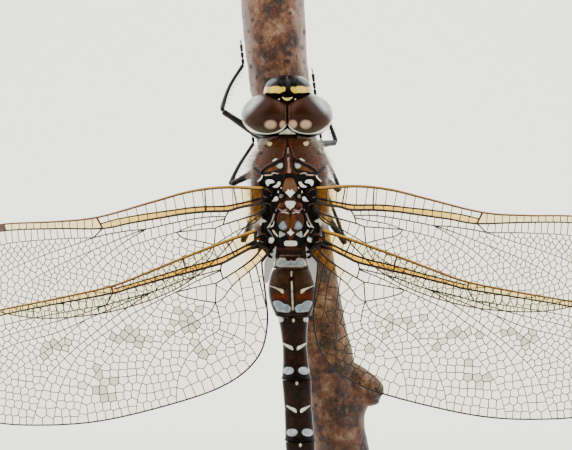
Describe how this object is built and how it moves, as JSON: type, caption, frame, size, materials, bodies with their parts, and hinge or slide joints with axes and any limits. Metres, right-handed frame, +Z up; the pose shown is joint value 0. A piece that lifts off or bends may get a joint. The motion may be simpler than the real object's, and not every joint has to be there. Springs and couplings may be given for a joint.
{
  "type": "dragonfly on a branch perch",
  "caption": "Still life-size dragonfly with spread clear wings, clinging head up to a short cut branch held by a brass rod on a flat wooden base.",
  "frame": {"origin": "centre of the underside of the display base, on the surface it stands on", "axes": "+Z up, along the insect's body towards its head; -Y the way the insect's back faces; +X the insect's right"},
  "size_m": [0.0785, 0.054, 0.088],
  "materials": {
    "eye": "glossy compound eye, dark reddish brown",
    "face": "glossy black shell with yellow patches",
    "head": "black shell",
    "thorax": "brown shell with pale hairs",
    "abdomen": "dark brown shell with pale blue-grey spots",
    "appendage": "dark brown shell",
    "wing": "clear membrane between dark veins",
    "leg": "black-brown shell",
    "bark": "reddish-brown bark",
    "stand_wood": "oiled walnut",
    "stand_brass": "satin brass"
  },
  "bodies": {
    "root": {"abdomen_1": "abdomen", "abdomen_10": "abdomen", "abdomen_2": "abdomen", "abdomen_3": "abdomen", "abdomen_4": "abdomen", "abdomen_5": "abdomen", "abdomen_6": "abdomen", "abdomen_7": "abdomen", "abdomen_8": "abdomen", "abdomen_9": "abdomen", "antenna_left": "leg", "antenna_right": "leg", "cercus_left": "appendage", "cercus_right": "appendage", "epiproct": "appendage", "eye_left": "eye", "eye_right": "eye", "face": "face", "femur_front_left": "leg", "femur_front_right": "leg", "femur_middle_left": "leg", "femur_middle_right": "leg", "femur_rear_left": "leg", "femur_rear_right": "leg", "forewing_left": "wing", "forewing_right": "wing", "head_capsule": "head", "hindwing_left": "wing", "hindwing_right": "wing", "perch_branch": "bark", "prothorax": "head", "stand_base": "stand_wood", "stand_rod": "stand_brass", "tarsus_front_left": "leg", "tarsus_front_right": "leg", "tarsus_middle_left": "leg", "tarsus_middle_right": "leg", "tarsus_rear_left": "leg", "tarsus_rear_right": "leg", "thorax": "thorax", "tibia_front_left": "leg", "tibia_front_right": "leg", "tibia_middle_left": "leg", "tibia_middle_right": "leg", "tibia_rear_left": "leg", "tibia_rear_right": "leg"}
  },
  "joints": []
}
